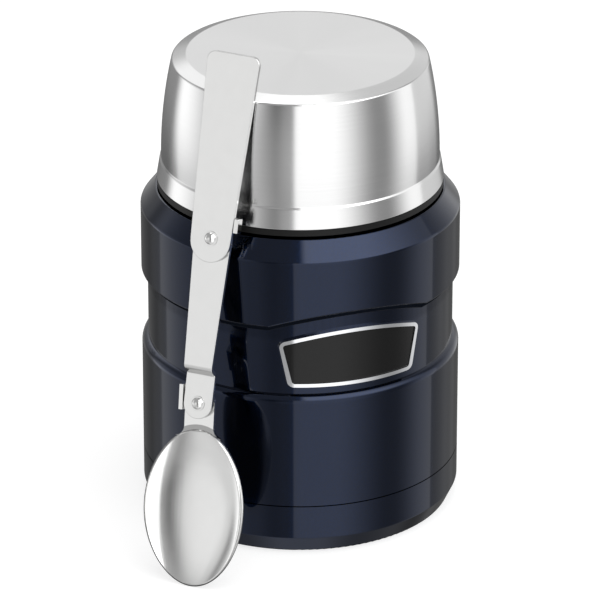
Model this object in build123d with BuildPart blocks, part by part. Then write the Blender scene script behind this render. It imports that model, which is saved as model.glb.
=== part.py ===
"""Insulated food jar: a double-walled steel vessel, an insulated stopper, a steel serving cup
that screws over the stopper, and a folding steel spoon that leans against the jar.

Millimetres, +Z up. The origin is the centre of the jar's underside, on the surface it stands on.
The jar's front faces -Y. Heights are measured from the underside, radii from the jar's axis.
"""

from build123d import *
from math import atan2, cos, radians, sin, sqrt, tan
import os

os.makedirs("parts", exist_ok=True)

# ---- Jar body: painted outer wall -------------------------------------------------------
band_radius = 47.5  # the two wide bands, the widest part of the jar
waist_depth = 1.9  # how far the waist lies inside the bands
wall = 0.8  # steel outer wall
seam_height = 15.5  # joint between the outer wall and the base cap
seam_gap = 0.35
waist_bottom = 51.6  # foot of the sloped lip under the waist
lower_lip_rise = 0.8  # height of the sloped lip under the waist
upper_lip_rise = 2.1  # height of the sloped lip above the waist
upper_lip_round = 0.45  # rounding of each lip's outer corner
lower_lip_round = 2.4
upper_band_height = 20.3  # between the upper lip and the shoulder cone
shoulder_height = 5.6
shoulder_width = 4.5  # how far the shoulder cone draws in
shoulder_round = 1.2
rim_round = 0.5
neck_inset = 10.7  # how far the steel neck, that the stopper screws over, lies inside the bands
neck_height = 12.9

# ---- Base cap --------------------------------------------------------------------------
cap_wall = 0.9
base_chamfer_width = 2.5
base_chamfer_height = 5.3
base_round = 0.7  # rounding at the foot and at the top of the chamfer
foot_groove_inset = 12.0  # groove's outer edge, inwards from the edge of the underside
foot_groove_width = 2.0
foot_groove_depth = 0.5
spigot_clearance = 0.1  # outer wall's lower end inside the base cap
spigot_end_clearance = 0.15  # outer wall's lower end above the cap's inner corner

# ---- Vacuum vessel ---------------------------------------------------------------------
liner_wall = 0.6
vacuum_gap = 2.8  # between the waist and the food vessel
liner_floor_round = 7.0
liner_shoulder_drop = 7.0  # height of the liner's slope under the neck
weld_gap = 0.05  # between the two steel necks
vacuum_bottom_rise = 1.6
vacuum_dish_radius = 31.3
vacuum_rim_width = 4.5
exhaust_pit_radius = 5.0
exhaust_pit_depth = 0.7
exhaust_seal_radius = 3.0
getter_radius = 7.0
getter_height = 1.3
getter_gap = 0.4  # between the getter and the vacuum bottom

# ---- Badge on the waist ----------------------------------------------------------------
badge_angle = 20.0  # degrees round from the front, towards +X
badge_lift = 2.6  # badge's lower edge above the foot of the lower lip
badge_height = 17.8  # up to the crown of its arched upper edge
badge_crown_over = 0.4  # badge's crown above the foot of the upper lip
badge_crown_radius = 64.0
badge_half_width_top = 21.9
badge_half_width_bottom = 19.3
badge_corner = 2.0
badge_rim_width = 1.1
badge_rim_thickness = 1.2
badge_plate_thickness = 0.8
badge_fit = 0.05
arch_margin = 3.9  # waist's arched lip above the badge's upper edge

# ---- Stopper ---------------------------------------------------------------------------
stopper_gap = 0.35  # running gap round the neck
stopper_skirt_wall = 1.45
flange_inset = 0.1  # flange's edge inside the cup's rim
flange_gap = 0.8  # between the flange and the jar's shoulder
flange_thickness = 1.8
cup_thread_height = 7.4  # part of the skirt that the cup screws on
stopper_grip_step = 0.6  # above it the stopper is a little slimmer
stopper_top_round = 2.0
flute_count = 30  # shallow finger grooves round the grip
flute_radius = 2.0
flute_depth = 0.6
stopper_wall = 1.4
plug_clearance = 0.45  # between the plug and the steel neck
plug_depth = 13.7
plug_round = 2.5
gasket_height = 1.2
gasket_chamfer = 0.3
recess_floor_drop = 0.7  # floor of the spoon recess below the gasket's seat
recess_end_wall = 2.4  # between the recess and the plug's outside
spoon_recess_width = 34.0
spoon_recess_depth = 10.4
insulation_gap = 0.2

# ---- Serving cup -----------------------------------------------------------------------
cup_seat_gap = 0.1  # cup's rim above the stopper's flange
cup_wall = 0.6
cup_liner_wall = 0.5
cup_air_gap = 0.9  # between the cup's two walls
cup_rim_flare = 1.3  # cup's rim outside the crease
cup_crease_rise = 6.4  # crease above the cup's rim
cup_taper = 3.4  # how far the side draws in, from the crease up to the corner
cup_side_bow = 0.84  # how far the side bows out from a straight line
cup_bevel_width = 4.4  # sloped ring round the flat top
cup_bevel_height = 1.5
cup_head_room = 16.9  # top of the cup above the stopper
cup_corner_round = 0.8
cup_hem_height = 0.8
cup_rim_round = 0.35
thread_ring_height = 5.6
thread_ring_wall = 0.35
thread_ring_gap = 0.35  # running gap round the stopper's skirt

# ---- Folding spoon ---------------------------------------------------------------------
spoon_turn = 23.5  # degrees that the spoon's front is turned from -Y, towards -X
spoon_lean = 17.0  # degrees that the spoon leans back
spoon_tilt = 0.1  # degrees that it leans to its left
spoon_shift = -5.75  # sideways place of its middle line
rest_gap = 0.3  # between the handle's back and the cup's corner
foot_gap = 0.05  # under the tip of the bowl
plate = 1.4  # steel plate of the handle and the link
plate_gap = 0.1
bowl_gap = 0.3  # between the link and the bowl's neck, so that the rim passes behind the link
rivet_radius = 1.5
rivet_clearance = 0.05
rivet_head_radius = 2.2
rivet_head_height = 1.0
rivet_head_round = 0.85
rivet_tail_height = 0.7
rivet_tail_round = 0.4
handle_length = 54.0  # upper rivet to the handle's end
handle_end_half_width = 8.3
handle_pivot_half_width = 6.25
handle_end_corner = 2.6
handle_heel_radius = 6.2
handle_heel_drop = 0.8  # centre of the heel's round below the upper rivet
handle_rest_angle = 0.9  # degrees that the handle is turned against its stop
rivet_spacing = 49.1
link_top_half_width = 5.85
link_low_half_width = 4.3
link_foot_half_width = 4.45
link_foot_drop = 0.1  # centre of the foot's round below the lower rivet
link_step = 3.0  # how far the link's foot is set back
link_step_start = 38.6  # from the upper rivet down
link_step_length = 1.8
link_bend_radius = 0.4  # inside each bend
stop_height = 4.2  # the two bent-up stop tabs, along the spoon
stop_foot = 2.6  # upper tab's lower end above the upper rivet
stop_gap = 0.25  # between the heel, as it turns, and the upper tab
lower_stop_gap = 0.12
lower_stop_length = 7.4
lower_stop_below = 2.2  # lower tab's lower end below the lower rivet
stop_proud = 0.2  # tab above the face of the plate that it stops
bowl_rest_angle = 4.0  # degrees that the bowl piece is turned against its stop
neck_half_width = 4.6
bowl_half_width = 16.4
bowl_half_length = 24.6
bowl_centre = 31.0  # from the lower rivet down
bowl_depth = 9.6
bowl_wall = 1.2  # the bowl, its neck and its tab are one sheet
bowl_rim_arch = 1.7  # how far the rim's sides stand above its tip
bowl_rim_round = 0.75
bowl_neck_round = 3.0

# ---- Heights and radii worked out from the sizes above -----------------------------------
waist_radius = band_radius - waist_depth
shoulder_top_radius = band_radius - shoulder_width
neck_radius = band_radius - neck_inset
spigot_radius = band_radius - cap_wall - spigot_clearance
base_radius = band_radius - base_chamfer_width

badge_bottom = waist_bottom + badge_lift
badge_top = badge_bottom + badge_height
waist_top = badge_top - badge_crown_over
shoulder_corner = waist_top + upper_lip_rise + upper_band_height
shoulder_top = shoulder_corner + shoulder_height
neck_top = shoulder_top + neck_height

upper_lip_slope = upper_lip_rise / waist_depth
cap_inner_corner = base_chamfer_height + 0.5 * cap_wall
spigot_end = cap_inner_corner + spigot_end_clearance
badge_plane = Plane.XZ.rotated((0, 0, badge_angle))
seam_plane = Plane(origin=(0, 0, 0), x_dir=-badge_plane.z_dir, z_dir=badge_plane.x_dir)


def wall_outline(inset):
    """Radius and height of each corner down the outer wall, moved into the steel by the inset."""
    shoulder_lean = atan2(band_radius - shoulder_top_radius, shoulder_top - shoulder_corner)
    top_inset = inset * tan(0.5 * (radians(90) - shoulder_lean))
    corner_inset = inset * tan(0.5 * shoulder_lean)
    return [
        (0, neck_top),
        (neck_radius - inset, neck_top),
        (neck_radius - inset, shoulder_top - inset),
        (shoulder_top_radius - top_inset, shoulder_top - inset),
        (band_radius - inset, shoulder_corner - corner_inset),
        (band_radius - inset, waist_top + upper_lip_rise + inset),
        (waist_radius - inset, waist_top + inset),
        (waist_radius - inset, waist_bottom - inset),
        (band_radius - inset, waist_bottom - lower_lip_rise - inset),
        (band_radius - inset, seam_height + seam_gap + inset),
        (spigot_radius - inset, seam_height + seam_gap + inset),
        (spigot_radius - inset, spigot_end),
        (0, spigot_end),
    ]


def arch_recess(inset):
    """The space cut out above the waist, over the badge, with a lip that slopes like the waist's."""
    half_width = badge_half_width_top + 2 * arch_margin
    crown = badge_top + arch_margin + inset
    foot_drop = badge_crown_radius - sqrt(badge_crown_radius**2 - half_width**2)
    waist_here = sqrt(waist_radius**2 - half_width**2)
    start = waist_here - waist_depth
    reach = (band_radius + waist_depth - start) * sqrt(1 + upper_lip_slope**2)
    middle = crown - (waist_radius - start) * upper_lip_slope
    side = crown - foot_drop - (waist_here - start) * upper_lip_slope
    below = middle - 0.5 * (waist_top - waist_bottom)
    with BuildPart() as recess:
        with BuildSketch(badge_plane.offset(start)):
            with BuildLine():
                ThreePointArc((-half_width, side), (0, middle), (half_width, side))
                Polyline((half_width, side), (half_width, below), (-half_width, below), (-half_width, side))
            make_face()
        extrude(amount=reach, dir=badge_plane.z_dir + Vector(0, 0, upper_lip_slope))
        with BuildSketch(Plane.XY):
            Circle(waist_radius - inset)
        extrude(amount=shoulder_top, mode=Mode.SUBTRACT)
    return recess.part


def is_lip_corner(edge):
    """True for the edges where the upper lip, and the arch over the badge, meet the upper band."""
    middle = edge @ 0.5
    above_waist = waist_top < middle.Z < badge_top + arch_margin + 2 * upper_lip_rise
    return above_waist and sqrt(middle.X**2 + middle.Y**2) > band_radius - 0.5 * upper_lip_round


# ---- Outer wall: one spun steel shell, painted, with its neck drawn up out of the shoulder
wall_arch = arch_recess(0)
space_arch = arch_recess(wall)

with BuildPart() as wall_space:
    with BuildSketch(Plane.XZ):
        with BuildLine():
            Polyline(*wall_outline(wall), close=True)
        make_face()
    revolve(axis=Axis.Z)
    add(space_arch, mode=Mode.SUBTRACT)

with BuildPart() as body_shell:
    with BuildSketch(seam_plane) as wall_section:
        with BuildLine():
            Polyline(*wall_outline(0), close=True)
        make_face()
        shoulder_rim = (shoulder_top_radius, shoulder_top)
        fillet(wall_section.vertices().sort_by_distance(shoulder_rim)[0], radius=rim_round)
        shoulder_edge = (band_radius, shoulder_corner)
        fillet(wall_section.vertices().sort_by_distance(shoulder_edge)[0], radius=shoulder_round)
        lower_lip = (band_radius, waist_bottom - lower_lip_rise)
        fillet(wall_section.vertices().sort_by_distance(lower_lip)[0], radius=lower_lip_round)
    revolve(axis=Axis.Z)
    add(wall_arch, mode=Mode.SUBTRACT)
    fillet(body_shell.edges().filter_by(is_lip_corner), radius=upper_lip_round)
    add(wall_space.part, mode=Mode.SUBTRACT)
body_shell.part.label = "body_shell"
export_step(body_shell.part, "parts/body_shell.step")

# ---- Base cap: painted steel cup pressed over the outer wall's lower end
with BuildPart() as base_cap:
    with BuildSketch(Plane.XZ) as cap_section:
        with BuildLine():
            Polyline(
                (0, 0),
                (base_radius, 0),
                (band_radius, base_chamfer_height),
                (band_radius, seam_height),
                (band_radius - cap_wall, seam_height),
                (band_radius - cap_wall, cap_inner_corner),
                (base_radius - cap_wall, cap_wall),
                (0, cap_wall),
                close=True,
            )
        make_face()
        for corner in ((base_radius, 0), (band_radius, base_chamfer_height)):
            fillet(cap_section.vertices().sort_by_distance(corner)[0], radius=base_round)
    revolve(axis=Axis.Z)
    with BuildSketch(Plane.XY):
        Circle(base_radius - foot_groove_inset)
        Circle(base_radius - foot_groove_inset - foot_groove_width, mode=Mode.SUBTRACT)
    extrude(amount=foot_groove_depth, mode=Mode.SUBTRACT)
base_cap.part.label = "base_cap"
export_step(base_cap.part, "parts/base_cap.step")

# ---- Vacuum bottom: dished plate welded into the outer wall, with the pit it was pumped through
spigot_bore = spigot_radius - wall
vacuum_bottom_top = spigot_end + wall + vacuum_bottom_rise
with BuildPart() as vacuum_bottom:
    with BuildSketch(Plane.XZ):
        with BuildLine():
            Polyline(
                (0, vacuum_bottom_top - wall),
                (vacuum_dish_radius, vacuum_bottom_top - wall),
                (spigot_bore - vacuum_rim_width, spigot_end),
                (spigot_bore, spigot_end),
                (spigot_bore, spigot_end + wall),
                (spigot_bore - vacuum_rim_width, spigot_end + wall),
                (vacuum_dish_radius, vacuum_bottom_top),
                (0, vacuum_bottom_top),
                close=True,
            )
        make_face()
    revolve(axis=Axis.Z)
    with BuildSketch(Plane.XY.offset(vacuum_bottom_top - wall - exhaust_pit_depth)):
        Circle(exhaust_pit_radius + wall)
    extrude(amount=exhaust_pit_depth + wall)
    with BuildSketch(Plane.XY.offset(vacuum_bottom_top - wall - exhaust_pit_depth)):
        Circle(exhaust_pit_radius)
    extrude(amount=exhaust_pit_depth, mode=Mode.SUBTRACT)
vacuum_bottom.part.label = "vacuum_bottom"
export_step(vacuum_bottom.part, "parts/vacuum_bottom.step")

# ---- Exhaust seal: glass bead melted over the pumping hole
with BuildPart() as exhaust_seal:
    with BuildSketch(Plane.XY.offset(vacuum_bottom_top - wall - exhaust_pit_depth)):
        Circle(exhaust_seal_radius)
    extrude(amount=exhaust_pit_depth)
exhaust_seal.part.label = "exhaust_seal"
export_step(exhaust_seal.part, "parts/exhaust_seal.step")

# ---- Inner liner: the steel food vessel, welded to the outer wall at the lip
liner_neck_outer = neck_radius - wall - weld_gap
liner_outer = waist_radius - wall - vacuum_gap
liner_radius = liner_outer - liner_wall
liner_bottom = vacuum_bottom_top + getter_gap + getter_height
liner_floor = liner_bottom + liner_wall
liner_shoulder_top = shoulder_top - wall - liner_wall
liner_shoulder_low = liner_shoulder_top - liner_shoulder_drop


def liner_outline(inset):
    """Radius and height of each corner down the food vessel, moved inwards by the inset."""
    return [
        (0, neck_top + liner_wall),
        (liner_neck_outer - inset, neck_top + liner_wall),
        (liner_neck_outer - inset, liner_shoulder_top - inset),
        (liner_outer - inset, liner_shoulder_low - inset),
        (liner_outer - inset, liner_bottom + inset),
        (0, liner_bottom + inset),
    ]


with BuildPart() as food_space:
    with BuildSketch(Plane.XZ) as food_section:
        with BuildLine():
            Polyline(*liner_outline(liner_wall), close=True)
        make_face()
        floor_corner = food_section.vertices().sort_by_distance((liner_radius, liner_floor))[0]
        fillet(floor_corner, radius=liner_floor_round)
    revolve(axis=Axis.Z)

with BuildPart() as inner_liner:
    with BuildSketch(Plane.XZ) as liner_section:
        with BuildLine():
            Polyline(*liner_outline(0), close=True)
        make_face()
        floor_corner = liner_section.vertices().sort_by_distance((liner_outer, liner_bottom))[0]
        fillet(floor_corner, radius=liner_floor_round + liner_wall)
    revolve(axis=Axis.Z)
    with BuildSketch(Plane.XY.offset(neck_top)):
        Circle(neck_radius)
    extrude(amount=liner_wall)
    add(food_space.part, mode=Mode.SUBTRACT)
inner_liner.part.label = "inner_liner"
export_step(inner_liner.part, "parts/inner_liner.step")

# ---- Getter: gas-absorbing pill under the food vessel, inside the vacuum
with BuildPart() as getter:
    with BuildSketch(Plane.XY.offset(liner_bottom - getter_height)):
        Circle(getter_radius)
    extrude(amount=getter_height)
getter.part.label = "getter"
export_step(getter.part, "parts/getter.step")


def badge_slab(grow, thickness):
    """A piece of the badge's outline, grown or shrunk, lying on the round of the waist."""
    top = badge_top + grow
    half_top = badge_half_width_top + grow
    half_bottom = badge_half_width_bottom + grow
    crown_radius = badge_crown_radius + grow
    shoulder = top - crown_radius + sqrt(crown_radius**2 - half_top**2)
    with BuildPart() as slab:
        with BuildSketch(badge_plane) as outline:
            with BuildLine():
                ThreePointArc((-half_top, shoulder), (0, top), (half_top, shoulder))
                Polyline(
                    (half_top, shoulder),
                    (half_bottom, badge_bottom - grow),
                    (-half_bottom, badge_bottom - grow),
                    (-half_top, shoulder),
                )
            make_face()
            fillet(outline.vertices(), radius=badge_corner + grow)
        extrude(amount=2 * band_radius)
        with BuildSketch(Plane.XY):
            Circle(waist_radius + thickness)
        extrude(amount=shoulder_top, mode=Mode.INTERSECT)
        with BuildSketch(Plane.XY):
            Circle(waist_radius)
        extrude(amount=shoulder_top, mode=Mode.SUBTRACT)
    return slab.part


# ---- Badge: a bright metal rim round a bare black plate, both bent to the waist and glued on
badge_outside = badge_slab(0, badge_rim_thickness)
badge_window = badge_slab(-badge_rim_width, 2 * badge_rim_thickness)
badge_inlay = badge_slab(-badge_rim_width - badge_fit, badge_plate_thickness)

with BuildPart() as badge_rim:
    add(badge_outside)
    add(badge_window, mode=Mode.SUBTRACT)
badge_rim.part.label = "badge_rim"
export_step(badge_rim.part, "parts/badge_rim.step")

with BuildPart() as badge_plate:
    add(badge_inlay)
badge_plate.part.label = "badge_plate"
export_step(badge_plate.part, "parts/badge_plate.step")

# ---- Stopper: moulded cap that screws over the neck, with a recess for the folded spoon
skirt_bore = neck_radius + stopper_gap
skirt_radius = skirt_bore + stopper_skirt_wall
cup_bore = skirt_radius + thread_ring_gap + thread_ring_wall
cup_liner_radius = cup_bore + cup_liner_wall
cup_crease_radius = cup_liner_radius + cup_air_gap + cup_wall
cup_rim_radius = cup_crease_radius + cup_rim_flare
flange_radius = cup_rim_radius - flange_inset
flange_bottom = shoulder_top + flange_gap
flange_top = flange_bottom + flange_thickness
grip_bottom = flange_top + cup_thread_height
grip_radius = skirt_radius - stopper_grip_step
plug_radius = liner_neck_outer - liner_wall - plug_clearance
gasket_top = neck_top + liner_wall + gasket_height
recess_floor = gasket_top - recess_floor_drop
stopper_floor = recess_floor - stopper_wall
stopper_top_height = recess_floor + spoon_recess_depth
plug_bottom = stopper_floor - plug_depth
spoon_recess_length = 2 * (plug_radius - recess_end_wall)
with BuildPart() as stopper_hollow:
    with BuildSketch(Plane.XY.offset(stopper_floor)):
        Circle(plug_radius - stopper_wall)
    extrude(amount=stopper_top_height - stopper_wall - stopper_floor)
    with BuildSketch(Plane.XY.offset(stopper_floor)):
        SlotOverall(spoon_recess_length + 2 * stopper_wall, spoon_recess_width + 2 * stopper_wall)
    extrude(amount=stopper_top_height - stopper_floor, mode=Mode.SUBTRACT)

with BuildPart() as stopper_top:
    with BuildSketch(Plane.XZ) as stopper_section:
        with BuildLine():
            Polyline(
                (0, stopper_floor),
                (plug_radius, stopper_floor),
                (plug_radius, gasket_top),
                (skirt_bore, gasket_top),
                (skirt_bore, flange_bottom),
                (flange_radius, flange_bottom),
                (flange_radius, flange_top),
                (skirt_radius, flange_top),
                (skirt_radius, grip_bottom),
                (grip_radius, grip_bottom + stopper_grip_step),
                (grip_radius, stopper_top_height),
                (0, stopper_top_height),
                close=True,
            )
        make_face()
        crown = (grip_radius, stopper_top_height)
        fillet(stopper_section.vertices().sort_by_distance(crown)[0], radius=stopper_top_round)
    revolve(axis=Axis.Z)
    with BuildSketch(Plane.XY.offset(grip_bottom + stopper_grip_step)):
        with PolarLocations(grip_radius + flute_radius - flute_depth, flute_count):
            Circle(flute_radius)
    extrude(amount=stopper_top_height - grip_bottom, mode=Mode.SUBTRACT)
    with BuildSketch(Plane.XY.offset(recess_floor)):
        SlotOverall(spoon_recess_length, spoon_recess_width)
    extrude(amount=spoon_recess_depth, mode=Mode.SUBTRACT)
    add(stopper_hollow.part, mode=Mode.SUBTRACT)
stopper_top.part.label = "stopper_top"
export_step(stopper_top.part, "parts/stopper_top.step")

# ---- Plug: moulded cup welded under the stopper, filled with foam
with BuildPart() as stopper_plug:
    with BuildSketch(Plane.XY.offset(plug_bottom)):
        Circle(plug_radius)
    extrude(amount=stopper_floor - plug_bottom)
    fillet(stopper_plug.faces().sort_by(Axis.Z)[0].edges(), radius=plug_round)
    with BuildSketch(Plane.XY.offset(plug_bottom + stopper_wall)):
        Circle(plug_radius - stopper_wall)
    extrude(amount=stopper_floor - plug_bottom - stopper_wall, mode=Mode.SUBTRACT)
stopper_plug.part.label = "stopper_plug"
export_step(stopper_plug.part, "parts/stopper_plug.step")

with BuildPart() as stopper_insulation:
    with BuildSketch(Plane.XY.offset(plug_bottom + stopper_wall)):
        Circle(plug_radius - stopper_wall - insulation_gap)
    extrude(amount=stopper_floor - plug_bottom - stopper_wall)
stopper_insulation.part.label = "stopper_insulation"
export_step(stopper_insulation.part, "parts/stopper_insulation.step")

# ---- Gasket: silicone ring that the stopper presses on the steel lip
with BuildPart() as stopper_gasket:
    with BuildSketch(Plane.XY.offset(neck_top + liner_wall)):
        Circle(neck_radius)
        Circle(plug_radius, mode=Mode.SUBTRACT)
    extrude(amount=gasket_height)
    lower_edges = stopper_gasket.edges().group_by(Axis.Z)[0]
    chamfer(lower_edges.sort_by(SortBy.RADIUS)[-1], length=gasket_chamfer)
stopper_gasket.part.label = "stopper_gasket"
export_step(stopper_gasket.part, "parts/stopper_gasket.step")

# ---- Serving cup: two spun steel walls, worn upside down over the stopper
cup_rim_height = flange_top + cup_seat_gap
cup_crease_height = cup_rim_height + cup_crease_rise
cup_corner_radius = cup_crease_radius - cup_taper
cup_top_radius = cup_corner_radius - cup_bevel_width
cup_top_height = stopper_top_height + cup_head_room
cup_corner_height = cup_top_height - cup_bevel_height


def cup_form(inset, rim_height, rim_radius):
    """The cup as a filled body, with its side and top moved inwards by the inset."""
    crease = (cup_crease_radius - inset, cup_crease_height)
    corner = (cup_corner_radius - inset, cup_corner_height - inset)
    disc_edge = (cup_top_radius - inset, cup_top_height - inset)
    with BuildPart() as form:
        with BuildSketch(Plane.XZ) as section:
            with BuildLine():
                Polyline((0, rim_height), (rim_radius, rim_height), crease)
                SagittaArc(crease, corner, -cup_side_bow)
                Polyline(corner, disc_edge, (0, cup_top_height - inset), (0, rim_height))
            make_face()
            fillet(section.vertices().sort_by_distance(corner)[0], radius=cup_corner_round)
        revolve(axis=Axis.Z)
    return form.part


hem_top = cup_rim_height + cup_hem_height

cup_outside = cup_form(0, cup_rim_height, cup_rim_radius)
cup_shell_space = cup_form(cup_wall, hem_top, cup_rim_radius - cup_wall)
cup_liner_outside = cup_form(cup_wall + cup_air_gap, hem_top, cup_liner_radius)
cup_space = cup_form(cup_wall + cup_air_gap + cup_liner_wall, hem_top, cup_bore)

with BuildPart() as cup_shell:
    add(cup_outside)
    add(cup_shell_space, mode=Mode.SUBTRACT)
    with BuildSketch(Plane.XY.offset(cup_rim_height)):
        Circle(cup_bore)
    extrude(amount=cup_hem_height, mode=Mode.SUBTRACT)
    fillet(cup_shell.edges().group_by(Axis.Z)[0], radius=cup_rim_round)
cup_shell.part.label = "cup_shell"
export_step(cup_shell.part, "parts/cup_shell.step")

# ---- Cup liner: inner wall, straight where it carries the thread ring
with BuildPart() as cup_liner:
    add(cup_liner_outside)
    add(cup_space, mode=Mode.SUBTRACT)
cup_liner.part.label = "cup_liner"
export_step(cup_liner.part, "parts/cup_liner.step")

# ---- Thread ring: moulded ring pressed into the cup, which screws onto the stopper
thread_ring_bore = skirt_radius + thread_ring_gap
with BuildPart() as cup_thread_ring:
    with BuildSketch(Plane.XY.offset(cup_rim_height)):
        Circle(cup_bore)
        Circle(thread_ring_bore, mode=Mode.SUBTRACT)
    extrude(amount=thread_ring_height)
cup_thread_ring.part.label = "cup_thread_ring"
export_step(cup_thread_ring.part, "parts/cup_thread_ring.step")

# ---- Folding spoon: where it stands. It leans on the cup's corner, with its tip on the table
turn = radians(spoon_turn)
lean = radians(spoon_lean)
tilt = radians(spoon_tilt)
spoon_front = Vector(-sin(turn) * cos(lean), -cos(turn) * cos(lean), sin(lean))
level_across = Vector(cos(turn), -sin(turn), 0)
level_up = Vector(sin(turn) * sin(lean), cos(turn) * sin(lean), cos(lean))
spoon_across = level_across * cos(tilt) + level_up * sin(tilt)
spoon_up = level_up * cos(tilt) - level_across * sin(tilt)
back_distance = cup_corner_radius * cos(lean) + cup_corner_height * sin(lean) + rest_gap

link_foot_front = -link_step
bowl_front = link_foot_front - plate - bowl_gap
handle_turn = radians(handle_rest_angle)
bowl_turn = radians(bowl_rest_angle)
tip_depth = bowl_depth - bowl_rim_arch
spindle_bow = 0.5 * (bowl_half_length**2 + tip_depth**2) / tip_depth
tip_slope = atan2(bowl_half_length, spindle_bow - tip_depth)
arch_slope = 2 * atan2(bowl_rim_arch, bowl_half_length)
tip_bisector = 0.5 * (tip_slope - arch_slope)
tip_height_gained = spoon_up.Z * cos(tip_bisector) - spoon_front.Z * sin(tip_bisector)
tip_lift = bowl_rim_round * (tip_height_gained / sin(0.5 * (tip_slope + arch_slope)) - 1)
tip_reach = bowl_centre + bowl_half_length
tip_below_pivot = rivet_spacing + tip_reach * cos(bowl_turn)
tip_aside = tip_reach * sin(bowl_turn)
tip_distance = back_distance + bowl_front
pivot_up = tip_below_pivot + (
    foot_gap - tip_lift - spoon_front.Z * tip_distance - spoon_across.Z * (spoon_shift + tip_aside)
) / spoon_up.Z
upper_pivot = spoon_front * back_distance + spoon_across * spoon_shift + spoon_up * pivot_up
lower_pivot = upper_pivot - spoon_up * rivet_spacing
spoon_plane = Plane(origin=upper_pivot, x_dir=spoon_across, z_dir=spoon_front)
foot_plane = Plane(origin=lower_pivot, x_dir=spoon_across, z_dir=spoon_front)
handle_across = spoon_across * cos(handle_turn) - spoon_up * sin(handle_turn)
handle_plane = Plane(origin=upper_pivot, x_dir=handle_across, z_dir=spoon_front)
bowl_across = spoon_across * cos(bowl_turn) + spoon_up * sin(bowl_turn)
bowl_plane = Plane(origin=lower_pivot, x_dir=bowl_across, z_dir=spoon_front)
rivet_hole = rivet_radius + rivet_clearance

# ---- Handle: tapered blade, in front of the link, that turns on the upper rivet
with BuildPart() as spoon_handle:
    with BuildSketch(handle_plane.offset(plate_gap)) as blade:
        with BuildLine():
            Polyline(
                (-handle_pivot_half_width, -handle_heel_drop),
                (-handle_end_half_width, handle_length),
                (handle_end_half_width, handle_length),
                (handle_pivot_half_width, -handle_heel_drop),
                close=True,
            )
        make_face()
        fillet(blade.vertices().group_by(Axis.Y)[-1], radius=handle_end_corner)
        with Locations((0, -handle_heel_drop)):
            Circle(handle_heel_radius)
        Circle(rivet_hole, mode=Mode.SUBTRACT)
    extrude(amount=plate)
spoon_handle.part.label = "spoon_handle"
export_step(spoon_handle.part, "parts/spoon_handle.step")

# ---- Link: joggled plate between the rivets, with a bent-up tab that stops the handle
link_end = rivet_spacing + link_foot_drop + link_foot_half_width
link_step_end = link_step_start + link_step_length
stop_face = sqrt((handle_heel_radius + handle_heel_drop + stop_gap) ** 2 - stop_foot**2)
bend_shift = plate * tan(0.5 * atan2(link_step, link_step_length))
joggle_plane = Plane(origin=upper_pivot, x_dir=spoon_up, z_dir=spoon_across)
with BuildPart() as spoon_link:
    with BuildSketch(joggle_plane.offset(-2 * link_top_half_width)) as strip:
        with BuildLine():
            Polyline(
                (link_top_half_width, 0),
                (-link_step_start, 0),
                (-link_step_end, -link_step),
                (-link_end, -link_step),
                (-link_end, -link_step - plate),
                (bend_shift - link_step_end, -link_step - plate),
                (bend_shift - link_step_start, -plate),
                (link_top_half_width, -plate),
                close=True,
            )
        make_face()
        for corner, radius in (
            ((-link_step_start, 0), link_bend_radius + plate),
            ((-link_step_end, -link_step), link_bend_radius),
            ((bend_shift - link_step_start, -plate), link_bend_radius),
            ((bend_shift - link_step_end, -link_step - plate), link_bend_radius + plate),
        ):
            fillet(strip.vertices().sort_by_distance(corner)[0], radius=radius)
    extrude(amount=4 * link_top_half_width)
    with BuildSketch(spoon_plane.offset(-2 * link_step)):
        with BuildLine():
            Polyline(
                (-link_top_half_width, 0),
                (link_top_half_width, 0),
                (link_low_half_width, -link_step_end),
                (link_foot_half_width, -link_step_end),
                (link_foot_half_width, -link_end + link_foot_half_width),
                (-link_foot_half_width, -link_end + link_foot_half_width),
                (-link_foot_half_width, -link_step_end),
                (-link_low_half_width, -link_step_end),
                close=True,
            )
        make_face()
        Circle(link_top_half_width)
        with Locations((0, -link_end + link_foot_half_width)):
            Circle(link_foot_half_width)
    extrude(amount=4 * link_step, mode=Mode.INTERSECT)
    for pivot in (spoon_plane, foot_plane):
        with BuildSketch(pivot.offset(-link_step - 2 * plate)):
            Circle(rivet_hole)
        extrude(amount=link_step + 3 * plate, mode=Mode.SUBTRACT)
    with BuildSketch(spoon_plane.offset(-plate)):
        with Locations((0.5 * (stop_face + plate), stop_foot + 0.5 * stop_height)):
            Rectangle(stop_face + plate, stop_height)
        Circle(rivet_hole, mode=Mode.SUBTRACT)
    extrude(amount=plate)
    with BuildSketch(spoon_plane.offset(-plate)):
        with Locations((stop_face + 0.5 * plate, stop_foot + 0.5 * stop_height)):
            Rectangle(plate, stop_height)
    extrude(amount=2 * plate + plate_gap + stop_proud)
spoon_link.part.label = "spoon_link"
export_step(spoon_link.part, "parts/spoon_link.step")

# ---- Bowl: pressed steel bowl with a flat neck behind the link, and its own bent-up stop tab
bowl_rim_top = bowl_front + bowl_rim_arch
bowl_middle = bowl_plane.from_local_coords((0, -bowl_centre, bowl_rim_top))
bowl_seat = Plane(origin=bowl_middle, x_dir=bowl_plane.x_dir, z_dir=bowl_plane.z_dir)
bowl_side = Plane(origin=bowl_middle, x_dir=bowl_plane.y_dir, z_dir=bowl_plane.x_dir)


# The bowl is part of a spindle: an arc turned about an axis in front of the rim
spindle_lift = 0.5 * (bowl_half_width**2 - bowl_depth**2) / bowl_depth
spindle_axis = Axis(bowl_middle + bowl_plane.z_dir * spindle_lift, bowl_plane.y_dir)


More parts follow.
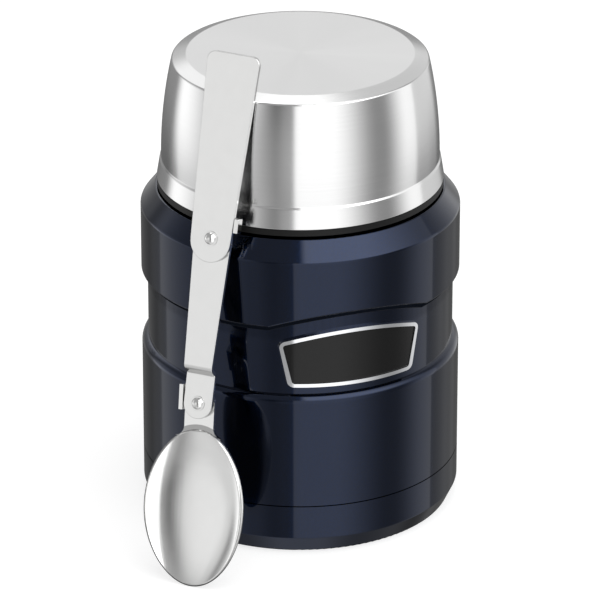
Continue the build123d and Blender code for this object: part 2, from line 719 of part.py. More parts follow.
def bowl_form(inset):
    """The spindle that the bowl's outside follows, or its inside, which is smaller by the inset."""
    half_length = sqrt((spindle_bow - inset) ** 2 - (spindle_bow - tip_depth) ** 2)
    near_end = (half_length, -bowl_rim_arch)
    far_end = (-half_length, -bowl_rim_arch)
    with BuildPart() as form:
        with BuildSketch(bowl_side):
            with BuildLine():
                ThreePointArc(far_end, (0, inset - bowl_depth), near_end)
                Polyline(near_end, (half_length, spindle_lift), (-half_length, spindle_lift), far_end)
            make_face()
        revolve(axis=spindle_axis)
    return form.part


def along_bowl(half_width):
    """Distance from the bowl's middle to where its outline, level with the neck, is that wide."""
    neck_level = spindle_lift + bowl_rim_arch
    below_neck = sqrt(neck_level**2 + half_width**2) - neck_level
    return sqrt(spindle_bow**2 - (spindle_bow - tip_depth + below_neck) ** 2)


bowl_outside = bowl_form(0)
bowl_hollow = bowl_form(bowl_wall)
spindle_top = 2 * spindle_lift + bowl_depth + bowl_wall
flare_half_width = neck_half_width + bowl_neck_round
flare_low = bowl_centre - along_bowl(flare_half_width)
flare_high = flare_low - bowl_neck_round
tab_face = link_foot_half_width + link_foot_drop + lower_stop_gap
tab_middle = 0.5 * lower_stop_length - lower_stop_below

with BuildPart() as spoon_bowl:
    add(bowl_outside)
    with BuildSketch(bowl_side):
        with BuildLine():
            ThreePointArc((-bowl_half_length, -bowl_rim_arch), (0, 0), (bowl_half_length, -bowl_rim_arch))
            Polyline(
                (bowl_half_length, -bowl_rim_arch),
                (2 * bowl_half_length, -bowl_rim_arch),
                (2 * bowl_half_length, spindle_top),
                (-2 * bowl_half_length, spindle_top),
                (-2 * bowl_half_length, -bowl_rim_arch),
                (-bowl_half_length, -bowl_rim_arch),
            )
        make_face()
    extrude(amount=2 * spindle_top, both=True, mode=Mode.SUBTRACT)
    fillet(spoon_bowl.edges().sort_by(SortBy.LENGTH)[-1], radius=bowl_rim_round)
    with BuildSketch(bowl_plane.offset(bowl_front - bowl_wall)):
        with BuildLine():
            Line((-neck_half_width, -flare_high), (-neck_half_width, 0))
            Line((-neck_half_width, 0), (neck_half_width, 0))
            Line((neck_half_width, 0), (neck_half_width, -flare_high))
            TangentArc((neck_half_width, -flare_high), (flare_half_width, -flare_low), tangent=(0, -1))
            Line((flare_half_width, -flare_low), (-flare_half_width, -flare_low))
            TangentArc((-neck_half_width, -flare_high), (-flare_half_width, -flare_low), tangent=(0, -1))
        make_face()
        Circle(neck_half_width)
    extrude(amount=bowl_wall)
    add(bowl_hollow, mode=Mode.SUBTRACT)
    with BuildSketch(bowl_plane.offset(bowl_front - bowl_wall)):
        with Locations((-0.5 * (tab_face + bowl_wall), tab_middle)):
            Rectangle(tab_face + bowl_wall, lower_stop_length)
    extrude(amount=bowl_wall)
    with BuildSketch(bowl_plane.offset(bowl_front - bowl_wall)):
        with Locations((-tab_face - 0.5 * bowl_wall, tab_middle)):
            Rectangle(bowl_wall, lower_stop_length)
    extrude(amount=bowl_wall + bowl_gap + plate + stop_proud)
    with BuildSketch(bowl_plane.offset(bowl_front - bowl_wall)):
        Circle(rivet_hole)
    extrude(amount=bowl_wall, mode=Mode.SUBTRACT)
spoon_bowl.part.label = "spoon_bowl"
export_step(spoon_bowl.part, "parts/spoon_bowl.step")


def rivet(pivot, front, back):
    """Domed rivet on a pivot, between the face under its head and the face over its tail."""
    with BuildPart() as pin:
        with BuildSketch(pivot.offset(back - rivet_tail_height)):
            Circle(rivet_head_radius)
        extrude(amount=rivet_tail_height)
        with BuildSketch(pivot.offset(back)):
            Circle(rivet_radius)
        extrude(amount=front - back)
        with BuildSketch(pivot.offset(front)):
            Circle(rivet_head_radius)
        extrude(amount=rivet_head_height)
        rims = pin.edges().filter_by(GeomType.CIRCLE).sort_by(Axis(pivot.origin, pivot.z_dir))
        fillet(rims[-1], radius=rivet_head_round)
        fillet(rims[0], radius=rivet_tail_round)
    return pin.part


# ---- Rivets: domed steel pins, one through each joint
upper_rivet = rivet(spoon_plane, 2 * plate_gap + plate, -plate - plate_gap)
lower_rivet = rivet(foot_plane, link_foot_front + plate_gap, bowl_front - bowl_wall - plate_gap)
with BuildPart() as spoon_rivet_upper:
    add(upper_rivet)
spoon_rivet_upper.part.label = "spoon_rivet_upper"
export_step(spoon_rivet_upper.part, "parts/spoon_rivet_upper.step")

with BuildPart() as spoon_rivet_lower:
    add(lower_rivet)
spoon_rivet_lower.part.label = "spoon_rivet_lower"
export_step(spoon_rivet_lower.part, "parts/spoon_rivet_lower.step")
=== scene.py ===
"""Insulated food jar, dressed for the studio: every steel, plastic and rubber piece gets its
finish, and the small forms that the solids leave out are modelled on top of them. Metres, +Z up.
"""

from math import cos, pi, radians, sin, sqrt

import bpy
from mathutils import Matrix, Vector


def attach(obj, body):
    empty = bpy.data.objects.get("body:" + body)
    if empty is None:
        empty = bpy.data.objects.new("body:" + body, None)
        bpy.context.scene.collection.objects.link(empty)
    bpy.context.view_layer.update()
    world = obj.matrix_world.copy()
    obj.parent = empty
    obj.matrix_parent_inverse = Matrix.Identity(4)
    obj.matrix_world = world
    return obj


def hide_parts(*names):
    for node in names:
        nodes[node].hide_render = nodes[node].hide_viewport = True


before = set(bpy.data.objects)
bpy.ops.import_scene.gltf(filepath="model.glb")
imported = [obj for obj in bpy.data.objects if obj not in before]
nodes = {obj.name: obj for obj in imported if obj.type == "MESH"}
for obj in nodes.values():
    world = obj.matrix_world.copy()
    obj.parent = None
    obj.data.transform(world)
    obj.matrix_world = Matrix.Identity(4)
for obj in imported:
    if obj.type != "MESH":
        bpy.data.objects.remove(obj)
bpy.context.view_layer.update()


# ---- Studio ------------------------------------------------------------------------------------
# A long lens looks down on the jar a little. The floor is white and keeps a soft shadow. Tall
# light panels stand round the table, and only the glossy surfaces see them.


class Wire:
    """An output socket that takes part in sums: each operator adds the Math node it stands for."""

    def __init__(self, tree, socket=None):
        self.tree = tree
        self.socket = socket

    def node(self, kind, inputs=(), output=0, stops=(), **settings):
        """Adds a node of any kind: its settings first, then the values or wires of its sockets."""
        step = self.tree.nodes.new("ShaderNode" + kind)
        for mark, colour in enumerate(stops):
            step.color_ramp.elements[mark].color = (*colour, 1)
        for name, value in settings.items():
            setattr(step, name, value)
        for name, value in dict(inputs).items():
            if isinstance(value, Wire):
                self.tree.links.new(value.socket, step.inputs[name])
            else:
                step.inputs[name].default_value = value
        return Wire(self.tree, step.outputs[output])

    def math(self, operation, *values):
        return self.node("Math", enumerate(values), operation=operation)

    def __add__(self, other):
        return self.math("ADD", self, other)

    def __sub__(self, other):
        return self.math("SUBTRACT", self, other)

    def __mul__(self, other):
        return self.math("MULTIPLY", self, other)

    def __rsub__(self, other):
        return self.math("SUBTRACT", other, self)

    __radd__ = __add__
    __rmul__ = __mul__

    def split(self):
        """The three parts of a vector."""
        parts = self.tree.nodes.new("ShaderNodeSeparateXYZ")
        self.tree.links.new(self.socket, parts.inputs[0])
        return [Wire(self.tree, part) for part in parts.outputs]

    def ramp(self, low, high):
        """0 at low and 1 at high, with a soft change between them."""
        ends = {"Value": self, "From Min": low, "From Max": high}
        return self.node("MapRange", ends, interpolation_type="SMOOTHSTEP")


camera_height = 0.0612  # point on the jar's axis that the camera looks at
camera_elevation = radians(24.22)
camera_distance = 1.516
camera_data = bpy.data.cameras.new("camera")
camera_data.sensor_width = 36
camera_data.lens = 303.44
camera_data.shift_x = -0.0006
camera = bpy.data.objects.new("camera", camera_data)
back = Vector((0, -cos(camera_elevation), sin(camera_elevation)))
camera.location = Vector((0, 0, camera_height)) + camera_distance * back
camera.rotation_euler = (pi / 2 - camera_elevation, 0, 0)
bpy.context.scene.collection.objects.link(camera)
bpy.context.scene.camera = camera
bpy.context.scene.view_settings.view_transform = "Standard"

world = bpy.data.worlds.new("studio")
bpy.context.scene.world = world
world.use_nodes = True
sky = Wire(world.node_tree)
east, north, upward = sky.node("TexCoord", output="Generated").split()
azimuth = sky.math("ARCTAN2", east, 0 - north) * (180 / pi)  # degrees round from the front
elevation = sky.math("ARCSINE", upward) * (180 / pi)
sideways = sky.math("ABSOLUTE", azimuth)


def panel(start, start_edge, end, end_edge, level):
    """A light panel between two azimuths, each with a soft edge of its own width in degrees."""
    left = azimuth.ramp(start - start_edge / 2, start + start_edge / 2)
    right = azimuth.ramp(end - end_edge / 2, end + end_edge / 2)
    return (left - right) * level


# Low down, where the upright walls look. The cup's side leans inwards and the body's doesn't,
# so they see different heights of the room, and each panel has a level for either.
cup_sight = elevation.ramp(-24, -14)  # 0 where the body's wall looks, 1 where the cup's does
body_sight = 1 - cup_sight
low_light = 0.25 + cup_sight * 0.12
for start, start_edge, end, end_edge, for_body, for_cup in (
    (-126, 16, -95, 40, 0.1, 0.8),  # far end of the left panel
    (-126, 16, -32, 30, 0, 0.5),  # left panel, upper part
    (-122, 3, -32, 30, 0.5, 0),  # left panel, lower part
    (-34, 10, -16, 10, 0.14, 0),  # its return towards the front
    (-16, 10, -5, 2, 0.2, 0.2),  # gap beside the main panel
    (-5, 2, 46, 44, 1.3, 1.3),  # main panel
    (46, 40, 86, 28, 0.14, 0),  # its return to the right
    (86, 28, 111, 2, 0.75, 1.15),  # right panel
    (111, 2, 152, 12, 0.12, 0.62),  # wall behind it
):
    level = for_body + cup_sight * (for_cup - for_body)
    low_light = low_light + panel(start, start_edge, end, end_edge, level)
low_light = low_light - sideways.ramp(130, 142) * body_sight * 0.12

# A little higher, where the spoon looks: the left panel is dim but for its near end.
spoon_sight = elevation.ramp(-6, 3)
spoon_light = panel(-62, 10, -34, 10, 0.22)
spoon_light = spoon_light - panel(-130, 20, -76, 16, 0.6) - panel(-28, 12, -5, 2, 0.2)
low_light = low_light + spoon_light * spoon_sight

# Higher up, where the shoulder of the body looks: a large panel to the right of the front.
high_light = 0.48 + panel(2, 8, 84, 60, 3.1) + panel(84, 40, 111, 2, 0.5)
overhead = elevation.ramp(10, 35)
panels = low_light * (1 - overhead) + high_light * overhead

# Behind the jar, where the cup's flat top and its bevel look, and the plain ceiling over it.
behind = sideways.ramp(125, 150) * elevation.ramp(4, 16)
back_left = panel(-168, 14, -140, 10, 1) * (elevation.ramp(14, 28) * 0.85 - 0.5)
back_right = panel(140, 10, 166, 14, 0.22)
back_light = 1.08 + elevation.ramp(58.5, 62) * 1.6 + back_left - back_right
panels = panels * (1 - behind) + back_light * behind
zenith = elevation.ramp(70, 78)
panels = panels * (1 - zenith) + 0.5 * zenith

# Below the table's edge, where the chamfer of the base looks.
under = elevation.ramp(-38, -52)
under_light = 0.05 + panel(-125, 30, 125, 30, 0.3) + panel(-60, 60, 60, 60, 0.6)
panels = panels * (1 - under) + under_light * under

is_camera = sky.node("LightPath", output="Is Camera Ray")
is_glossy = sky.node("LightPath", output="Is Glossy Ray")
room_level = 0.62  # what every matt surface sees; the camera sees plain white
strength = room_level + is_camera * (1 - room_level) + is_glossy * (panels - room_level)
backdrop = world.node_tree.nodes["Background"]
world.node_tree.links.new(strength.socket, backdrop.inputs["Strength"])
backdrop.inputs["Color"].default_value = (1, 1, 1, 1)

lamp_data = bpy.data.lights.new("soft_lamp", "AREA")
lamp_data.shape = "DISK"
lamp_data.size = 2.2
lamp_data.energy = 20
lamp = bpy.data.objects.new("soft_lamp", lamp_data)
lamp.location = (0.5, -0.5, 1.8)
jar_middle = Vector((0, 0, 0.06))
lamp.rotation_euler = (jar_middle - lamp.location).to_track_quat("-Z", "Y").to_euler()
lamp.visible_glossy = False
lamp.visible_camera = False
bpy.context.scene.collection.objects.link(lamp)

bpy.ops.object.select_all(action="DESELECT")
bpy.ops.mesh.primitive_plane_add(size=20)
floor = bpy.context.object
floor.name = "floor"
floor.visible_glossy = False
floor_paint = bpy.data.materials.new("floor_paint")
floor_paint.use_nodes = True
floor_tree = floor_paint.node_tree
floor_tree.nodes.remove(floor_tree.nodes["Principled BSDF"])
floor_wire = Wire(floor_tree)
floor_seen = floor_wire.node("LightPath", output="Is Camera Ray")
glow = floor_wire.node("Emission", {"Color": (1, 1, 1, 1), "Strength": floor_seen * 0.72})
matt = floor_wire.node("BsdfDiffuse", {"Color": (0.42, 0.42, 0.42, 1)})
floor_mix = floor_wire.node("AddShader", {0: glow, 1: matt})
floor_tree.links.new(floor_mix.socket, floor_tree.nodes["Material Output"].inputs["Surface"])
floor.data.materials.append(floor_paint)


# ---- Outer wall and base cap -------------------------------------------------------------------
# The wall is one spun steel shell and the cap is pressed over its lower end. Both are painted dark
# blue with fine metal flake under a clear gloss coat. The underside of the lip over the waist gets
# little coat and a painted shade: its colour is darkened to a near-black matt blue.


def new_finish(name, **fixed):
    """A material with its fixed values on the shader's own sockets, and a wire with its place."""
    material = bpy.data.materials.new(name)
    material.use_nodes = True
    shader = material.node_tree.nodes["Principled BSDF"]
    for socket, value in fixed.items():
        shader.inputs[socket.replace("_", " ")].default_value = value
    return material, Wire(material.node_tree).node("TexCoord", output="Object")


def feed(material, **patterns):
    """Wires the patterns into the material's shader."""
    shader = material.node_tree.nodes["Principled BSDF"]
    for socket, wire in patterns.items():
        material.node_tree.links.new(wire.socket, shader.inputs[socket.replace("_", " ")])


def coat_nodes(material, *names):
    """Gives the material to every slot of the named solids."""
    for name in names:
        for slot in nodes[name].material_slots:
            slot.material = material


navy, place = new_finish("navy_flake_paint", Metallic=1.0, Coat_Roughness=0.02)
flake = place.node("TexVoronoi", {"Vector": place, "Scale": 5200}, output="Color").split()[0]
cloud = place.node("TexNoise", {"Vector": place, "Scale": 30, "Detail": 2})
blues = ((0.0008, 0.0050, 0.0190), (0.0022, 0.0085, 0.0300))
depth = place.node("ValToRGB", {"Fac": flake * 0.8 + cloud * 0.2}, stops=blues)
peel = place.node("TexNoise", {"Vector": place, "Scale": 420, "Detail": 1})
skin = place.node("Bump", {"Height": peel, "Strength": 0.02, "Distance": 0.0002})

east, north, upward = place.split()
radius = place.math("SQRT", east * east + north * north)
lip_reach = radius.ramp(0.0455, 0.0459) * (1 - radius.ramp(0.0471, 0.0474))  # waist to band
lip_heights = upward.ramp(0.068, 0.070) * (1 - upward.ramp(0.090, 0.092))  # ends to top of arch
# Painted shade: under the lip the colour is darkened and the shader is turned to a matt near-black.
lip_shade_mask = lip_reach * lip_heights
lip_shade_blue = (0.0003, 0.0012, 0.0050, 1)
lip_shade_colours = {"Factor": lip_shade_mask, "A": depth, "B": lip_shade_blue}
shade = place.node("Mix", lip_shade_colours, output=2, data_type="RGBA")
gloss = 0.5 - lip_shade_mask * 0.45
feed(navy, Base_Color=shade, Roughness=0.14 + flake * 0.06, Coat_Weight=gloss, Normal=skin)
painted_lip_shade = place.node("BsdfDiffuse", {"Color": (0.010, 0.013, 0.021, 1)})
glossy = Wire(navy.node_tree, navy.node_tree.nodes["Principled BSDF"].outputs[0])
paint_with_lip_shade = place.node("MixShader", {0: lip_shade_mask, 1: glossy, 2: painted_lip_shade})
navy_surface = navy.node_tree.nodes["Material Output"].inputs["Surface"]
navy.node_tree.links.new(paint_with_lip_shade.socket, navy_surface)
coat_nodes(navy, "body_shell", "base_cap")


# ---- Badge -------------------------------------------------------------------------------------
# A bright plated rim holds a bare black plate. Both are curved to the waist and glued on.

chrome, place = new_finish("badge_chrome", Metallic=1.0)
smudge = place.node("TexNoise", {"Vector": place, "Scale": 160, "Detail": 3})
tone = place.node("ValToRGB", {"Fac": smudge}, stops=((0.66, 0.67, 0.69), (0.75, 0.76, 0.78)))
feed(chrome, Base_Color=tone, Roughness=0.08 + smudge * 0.05)
coat_nodes(chrome, "badge_rim")

black, place = new_finish("badge_black", Specular_IOR_Level=0.22)
grain = place.node("TexNoise", {"Vector": place, "Scale": 1500, "Detail": 2})
tone = place.node("ValToRGB", {"Fac": grain}, stops=((0.008, 0.008, 0.008), (0.011, 0.011, 0.011)))
feed(black, Base_Color=tone, Roughness=0.1 + grain * 0.05)
coat_nodes(black, "badge_plate")


# ---- Food vessel and the other plain steel -----------------------------------------------------
# The food vessel, the plate that closes the vacuum and the cup's inner wall are drawn stainless
# steel, left with the fine rings of the lathe. In the vacuum are the getter, a gas-absorbing
# pill, and the glass bead that sealed the pumping hole.

steel, place = new_finish("plain_steel", Metallic=1.0, Anisotropic=0.5, Anisotropic_Rotation=0.25)
east, north, upward = place.split()
radius = place.math("SQRT", east * east + north * north)
lines = place.node("CombineXYZ", {"X": east * 20, "Y": north * 20, "Z": (upward - radius) * 6000})
rings = place.node("TexNoise", {"Vector": lines, "Scale": 1, "Detail": 3})
tone = place.node("ValToRGB", {"Fac": rings}, stops=((0.50, 0.49, 0.47), (0.62, 0.61, 0.59)))
feed(steel, Base_Color=tone, Roughness=0.2 + rings * 0.12)
coat_nodes(steel, "inner_liner", "cup_liner", "vacuum_bottom")

getter_metal, place = new_finish("getter_metal", Metallic=1.0)
grit = place.node("TexNoise", {"Vector": place, "Scale": 2500, "Detail": 4})
tone = place.node("ValToRGB", {"Fac": grit}, stops=((0.16, 0.15, 0.14), (0.30, 0.29, 0.27)))
pits = place.node("Bump", {"Height": grit, "Strength": 0.4, "Distance": 0.0002})
feed(getter_metal, Base_Color=tone, Roughness=0.5 + grit * 0.2, Normal=pits)
coat_nodes(getter_metal, "getter")

seal_glass, place = new_finish("seal_glass", IOR=1.52)
swirl = place.node("TexNoise", {"Vector": place, "Scale": 900, "Detail": 3})
tone = place.node("ValToRGB", {"Fac": swirl}, stops=((0.10, 0.12, 0.11), (0.20, 0.22, 0.20)))
feed(seal_glass, Base_Color=tone, Roughness=0.12 + swirl * 0.1)
coat_nodes(seal_glass, "exhaust_seal")


# ---- Stopper -----------------------------------------------------------------------------------
# The stopper, its plug and the ring in the cup's mouth are moulded in black plastic. The plug is
# filled with foam, and a clear silicone ring round it seals on the steel lip.

plastic, place = new_finish("black_plastic", Specular_IOR_Level=0.2)
grain = place.node("TexNoise", {"Vector": place, "Scale": 2600, "Detail": 3})
tone = place.node("ValToRGB", {"Fac": grain}, stops=((0.006, 0.006, 0.006), (0.010, 0.010, 0.010)))
spark = place.node("Bump", {"Height": grain, "Strength": 0.25, "Distance": 0.0001})
feed(plastic, Base_Color=tone, Roughness=0.38 + grain * 0.12, Normal=spark)
coat_nodes(plastic, "stopper_top", "stopper_plug", "cup_thread_ring")

silicone, place = new_finish("clear_silicone", Subsurface_Weight=0.2)
haze = place.node("TexNoise", {"Vector": place, "Scale": 700, "Detail": 2})
tone = place.node("ValToRGB", {"Fac": haze}, stops=((0.55, 0.55, 0.54), (0.64, 0.64, 0.62)))
feed(silicone, Base_Color=tone, Roughness=0.4 + haze * 0.15)
coat_nodes(silicone, "stopper_gasket")

foam, place = new_finish("white_foam")
beads = place.node("TexVoronoi", {"Vector": place, "Scale": 500}, output="Distance")
tone = place.node("ValToRGB", {"Fac": beads}, stops=((0.80, 0.80, 0.78), (0.62, 0.62, 0.60)))
dimples = place.node("Bump", {"Height": 1 - beads, "Strength": 0.6, "Distance": 0.0005})
feed(foam, Base_Color=tone, Roughness=0.8 + beads * 0.1, Normal=dimples)
coat_nodes(foam, "stopper_insulation")


# ---- Serving cup -------------------------------------------------------------------------------
# The outer wall is spun stainless steel with a hem turned in at the mouth and a small step above
# its foot. It is brushed round and round on the lathe, side and top.

brushed, place = new_finish("brushed_steel", Metallic=1.0, Anisotropic=0.7, Anisotropic_Rotation=0.25)
east, north, upward = place.split()
radius = place.math("SQRT", east * east + north * north)
lines = place.node("CombineXYZ", {"X": east * 12, "Y": north * 12, "Z": (upward - radius) * 9000})
rings = place.node("TexNoise", {"Vector": lines, "Scale": 1, "Detail": 3})
# Painted highlight: on the top the colour is mixed with lighter and darker wedges round the centre,
# standing in for the glints of the lathe lines.
east_share = place.math("DIVIDE", east, radius)
north_share = place.math("DIVIDE", north, radius)
around = place.node("CombineXYZ", {"X": east_share, "Y": north_share})
painted_wedge_highlight = place.node("TexNoise", {"Vector": around, "Scale": 1.6, "Detail": 3})  # wedges on the top
on_top = upward.ramp(0.1404, 0.1408)
wedge_highlight_share = 0.8
rings_and_highlight = rings * (1 - on_top * wedge_highlight_share) + painted_wedge_highlight * on_top * wedge_highlight_share
tone = place.node("ValToRGB", {"Fac": rings_and_highlight}, stops=((0.585, 0.585, 0.585), (0.665, 0.665, 0.665)))
feed(brushed, Base_Color=tone, Roughness=0.14 + rings * 0.08)

MM = 0.001


def eased(corners):
    """A profile in metres from corners in mm: radius, height and, to round one, over what length."""
    points = [Vector(corner[:2]) * MM for corner in corners]
    profile = [points[0]]
    steps = 6
    for before, here, after, corner in zip(points, points[1:], points[2:], corners[1:]):
        if len(corner) == 2:
            profile.append(here)
            continue
        start = here + (before - here).normalized() * corner[2] * MM
        end = here + (after - here).normalized() * corner[2] * MM
        for step in range(steps + 1):
            along = step / steps
            profile.append(start * (1 - along) ** 2 + here * 2 * along * (1 - along) + end * along**2)
    return profile + [points[-1]]


def keep_flats(piece, crease_angle):
    """Smooth shading that leaves the large faces flat and lets only the small ones bend."""
    bpy.ops.object.shade_smooth_by_angle(angle=radians(crease_angle))
    weights = piece.modifiers.new("weights", "WEIGHTED_NORMAL")
    weights.keep_sharp = True
    weights.weight = 100
    bpy.ops.object.modifier_apply(modifier=weights.name)


def turned_piece(name, profile, sides):
    """A round solid grown ring by ring out of a circle, closed by a face at its first ring and
    by drawing its last ring together to a point."""
    bpy.ops.object.select_all(action="DESELECT")
    bpy.ops.mesh.primitive_circle_add(vertices=sides, radius=profile[0][0], location=(0, 0, 0))
    piece = bpy.context.object
    piece.name = name
    bpy.ops.object.mode_set(mode="EDIT")
    bpy.ops.mesh.select_all(action="SELECT")
    bpy.ops.transform.translate(value=(0, 0, profile[0][1]))
    for (radius_before, low), (radius_next, high) in zip(profile, profile[1:]):
        growth = radius_next / radius_before
        bpy.ops.mesh.extrude_region_move(TRANSFORM_OT_translate={"value": (0, 0, high - low)})
        bpy.ops.transform.resize(value=(growth, growth, 1), center_override=(0, 0, high))
    bpy.ops.mesh.merge(type="COLLAPSE")
    bpy.ops.mesh.select_all(action="DESELECT")
    bpy.ops.mesh.select_mode(type="EDGE")
    bpy.ops.mesh.select_non_manifold()
    bpy.ops.mesh.edge_face_add()
    bpy.ops.mesh.select_all(action="SELECT")
    bpy.ops.mesh.normals_make_consistent(inside=False)
    bpy.ops.object.mode_set(mode="OBJECT")
    return piece


crease = Vector((41.25, 108.9))  # radius and height in mm, where the side meets the small step
corner = Vector((37.9, 139.4))  # where it meets the bevel round the top
bow = 0.84  # how far the side bulges from the straight line between them
chord = corner - crease
outward = Vector((chord.y, -chord.x)).normalized()
curve_radius = (chord.length**2 / 4 + bow**2) / (2 * bow)
side_steps = 16
side_points = []
for step in range(1, side_steps):
    from_middle = (step / side_steps - 0.5) * chord.length
    bulge = sqrt(curve_radius**2 - from_middle**2) - curve_radius + bow
    side_points.append(tuple(crease + chord * step / side_steps + outward * bulge))

sheet = 0.6  # thickness of the steel, and the heights and radii of its ends, all in mm
mouth = 102.3
hem_top = 103.1
top = 140.9
hem_reach = 39.3
foot_reach = 42.6
step_edge = (41.62, 108.25)
step_inside = (40.7, 108.7)
flat_reach = 33.5
cup_profile = [(flat_reach - sheet, top - sheet), (corner.x - sheet, corner.y - sheet)]
cup_profile += [(reach - sheet, height) for reach, height in reversed(side_points[:-1])]
cup_profile += [step_inside, (foot_reach - sheet, hem_top), (hem_reach, hem_top)]
cup_profile += [(hem_reach, mouth, 0.1), (foot_reach, mouth, 0.35), (*step_edge, 0.12)]
cup_profile += [(*crease, 0.12)] + side_points + [(*corner, 0.5)]
cup_profile += [(flat_reach, top, 0.3), (0.1, top)]
cup = turned_piece("cup_wall", eased(cup_profile), 180)
keep_flats(cup, 40)
cup.data.materials.append(brushed)
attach(cup, "cup")
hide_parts("cup_shell")


# ---- Screw threads -----------------------------------------------------------------------------
# Low rounded ridges: rolled into the steel neck for the stopper, and moulded on the stopper's
# skirt for the cup.


def thread_ridge(name, wall, low, pitch, turns):
    """One ridge that climbs round a wall, its section drawn first and then swept by a screw."""
    half_depth = 0.25 * MM
    half_height = 0.8 * MM
    steps_a_turn = 96
    bpy.ops.object.select_all(action="DESELECT")
    upright = (pi / 2, 0, 0)
    bpy.ops.mesh.primitive_circle_add(vertices=10, radius=1, location=(0, 0, 0), rotation=upright)
    ridge = bpy.context.object
    ridge.name = name
    bpy.ops.object.transform_apply(location=True, rotation=True, scale=True)
    bpy.ops.object.mode_set(mode="EDIT")
    bpy.ops.mesh.select_all(action="SELECT")
    bpy.ops.transform.resize(value=(half_depth, 1, half_height), center_override=(0, 0, 0))
    bpy.ops.transform.translate(value=(wall, 0, low))
    bpy.ops.object.mode_set(mode="OBJECT")
    sweep = ridge.modifiers.new("sweep", "SCREW")
    sweep.angle = 2 * pi * turns
    sweep.screw_offset = pitch * turns
    sweep.steps = int(steps_a_turn * turns)
    sweep.render_steps = int(steps_a_turn * turns)
    bpy.ops.object.modifier_apply(modifier=sweep.name)
    bpy.ops.object.mode_set(mode="EDIT")
    bpy.ops.mesh.select_all(action="DESELECT")
    bpy.ops.mesh.select_mode(type="EDGE")
    bpy.ops.mesh.select_non_manifold()
    bpy.ops.mesh.fill_holes(sides=0)
    bpy.ops.mesh.select_all(action="SELECT")
    bpy.ops.mesh.normals_make_consistent(inside=False)
    bpy.ops.object.mode_set(mode="OBJECT")
    bpy.ops.object.shade_smooth_by_angle(angle=radians(50))
    return ridge


for name, wall, low, pitch, turns, coat, body, slot in (
    ("neck_thread", 36.8 * MM, 103.2 * MM, 3.2 * MM, 1.75, steel, "jar", "plain_steel"),
    ("skirt_thread", 38.6 * MM, 103.6 * MM, 2.8 * MM, 1.75, plastic, "stopper", "black_plastic"),
):
    ridge = thread_ridge(name, wall, low, pitch, turns)
    ridge.data.materials.append(coat)
    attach(ridge, body)


# ---- Folding spoon -----------------------------------------------------------------------------
# The handle and the link are stamped from steel plate and the bowl is pressed. All three are
# tumbled until their edges are round and bright.

spoon_steel, place = new_finish("spoon_steel", Metallic=1.0)
haze = place.node("TexNoise", {"Vector": place, "Scale": 260, "Detail": 4})
tone = place.node("ValToRGB", {"Fac": haze}, stops=((0.66, 0.66, 0.655), (0.72, 0.72, 0.715)))
feed(spoon_steel, Base_Color=tone, Roughness=0.1 + haze * 0.08)


def skin_copy(source, name, edge_round):
    """A copy of a flat solid with its skin joined up and its sharp edges rounded."""
    piece = bpy.data.objects.new(name, nodes[source].data.copy())
    bpy.context.scene.collection.objects.link(piece)
    bpy.ops.object.select_all(action="DESELECT")
    piece.select_set(True)
    bpy.context.view_layer.objects.active = piece
    bpy.ops.mesh.customdata_custom_splitnormals_clear()
    bpy.ops.object.mode_set(mode="EDIT")
    bpy.ops.mesh.select_all(action="SELECT")
    bpy.ops.mesh.remove_doubles(threshold=0.000004)
    bpy.ops.mesh.dissolve_limited(angle_limit=radians(1))
    bpy.ops.mesh.normals_make_consistent(inside=False)
    bpy.ops.object.mode_set(mode="OBJECT")
    round_off = piece.modifiers.new("round_off", "BEVEL")
    round_off.width = edge_round
    round_off.segments = 3
    round_off.limit_method = "ANGLE"
    round_off.angle_limit = radians(40)
    round_off.use_clamp_overlap = False
    bpy.ops.object.modifier_apply(modifier=round_off.name)
    keep_flats(piece, 35)
    piece.data.materials.clear()
    return piece


for source, name, body in (
    ("spoon_handle", "handle_plate", "spoon_blade"),
    ("spoon_link", "link_plate", "spoon"),
):
    plate = skin_copy(source, name, 0.2 * MM)
    plate.data.materials.append(spoon_steel)
    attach(plate, body)
    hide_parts(source)

# The hollow is shaded as a shallower one, by a bump in the shape of the depth taken off.
bowl_steel, place = new_finish("bowl_steel", Metallic=1.0)
rim_middle = (-0.031466, -0.063364, 0.023025)
bowl_x = (0.923049, -0.378559, 0.068373)  # across the bowl
bowl_y = (0.050717, 0.295946, 0.953857)  # along it, towards the neck
bowl_z = tuple(Vector(bowl_x).cross(Vector(bowl_y)))  # out of the hollow
half_width = 0.0164
half_length = 0.0246
depth_taken_off = 0.0063
from_middle = place.node("VectorMath", {0: place, 1: rim_middle}, operation="SUBTRACT")
aside = place.node("VectorMath", {0: from_middle, 1: bowl_x}, output=1, operation="DOT_PRODUCT")
aside = aside * (1 / half_width)
along = place.node("VectorMath", {0: from_middle, 1: bowl_y}, output=1, operation="DOT_PRODUCT")
along = along * (1 / half_length)
inside = place.math("MAXIMUM", 1 - aside * aside - along * along, 0)
facing = place.node("TexCoord", output="Normal")
facing = place.node("VectorMath", {0: facing, 1: bowl_z}, output=1, operation="DOT_PRODUCT")
side = place.math("SIGN", facing)
sag = side * inside * depth_taken_off
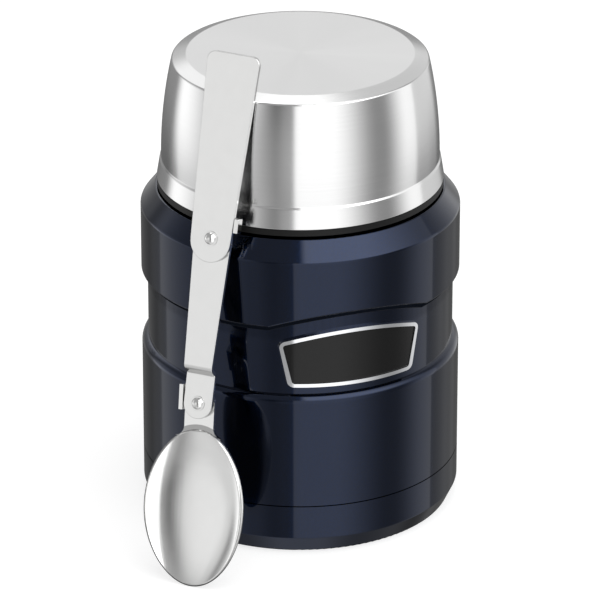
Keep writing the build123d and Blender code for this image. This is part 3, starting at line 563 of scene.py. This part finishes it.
shallow = place.node("Bump", {"Height": sag, "Strength": 1.0, "Distance": 1.0})
haze = place.node("TexNoise", {"Vector": place, "Scale": 200, "Detail": 4})
tone = place.node("ValToRGB", {"Fac": haze}, stops=((0.69, 0.69, 0.685), (0.75, 0.75, 0.745)))
feed(bowl_steel, Base_Color=tone, Roughness=0.13 + haze * 0.07, Normal=shallow)
coat_nodes(bowl_steel, "spoon_bowl")


# ---- Spoon rivets ------------------------------------------------------------------------------
# Two stainless steel rivets are the spoon's hinges. Each has a domed head in front, and goes
# through both plates to a flat tail that is upset behind them.

spoon_front = Vector((-0.381326, -0.876989, 0.292372))  # the way the spoon's plates face
shank_reach = 1.2  # radii and heights in mm
tail_reach = 2.1
head_reach = 2.2
dome_reach = 1.75
head_rim = 0.15
dome_curve = 1.9
dome_edge = radians(60)  # lean of the dome at its edge

for name, source, pivot, head_base, tail_base in (
    ("rivet_upper", "spoon_rivet_upper", (-0.025392, -0.043622, 0.100426), 1.6, -1.5),
    ("rivet_lower", "spoon_rivet_lower", (-0.031038, -0.056821, 0.053472), -2.9, -6.0),
):
    rim_top = head_base + head_rim
    tail = [(tail_reach - 0.2, tail_base - 0.7), (tail_reach, tail_base - 0.5)]
    tail += [(tail_reach, tail_base), (shank_reach, tail_base)]
    head = [(shank_reach, head_base), (head_reach, head_base, 0.05)]
    head += [(head_reach, rim_top, 0.06), (dome_reach, rim_top, 0.04)]
    dome = []
    for step in range(1, 9):
        lean = dome_edge * (1 - step / 8.2)  # short of upright, so that the last ring has a size
        rise = dome_curve * (cos(lean) - cos(dome_edge))
        dome.append((dome_reach * sin(lean) / sin(dome_edge), rim_top + rise))
    rivet = turned_piece(name, eased(tail + head + dome), 48)
    rivet.rotation_euler = spoon_front.to_track_quat("Z", "Y").to_euler()
    rivet.location = pivot
    bpy.ops.object.transform_apply(location=True, rotation=True, scale=True)
    keep_flats(rivet, 35)
    rivet.data.materials.append(spoon_steel)
    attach(rivet, "spoon")
    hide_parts(source)
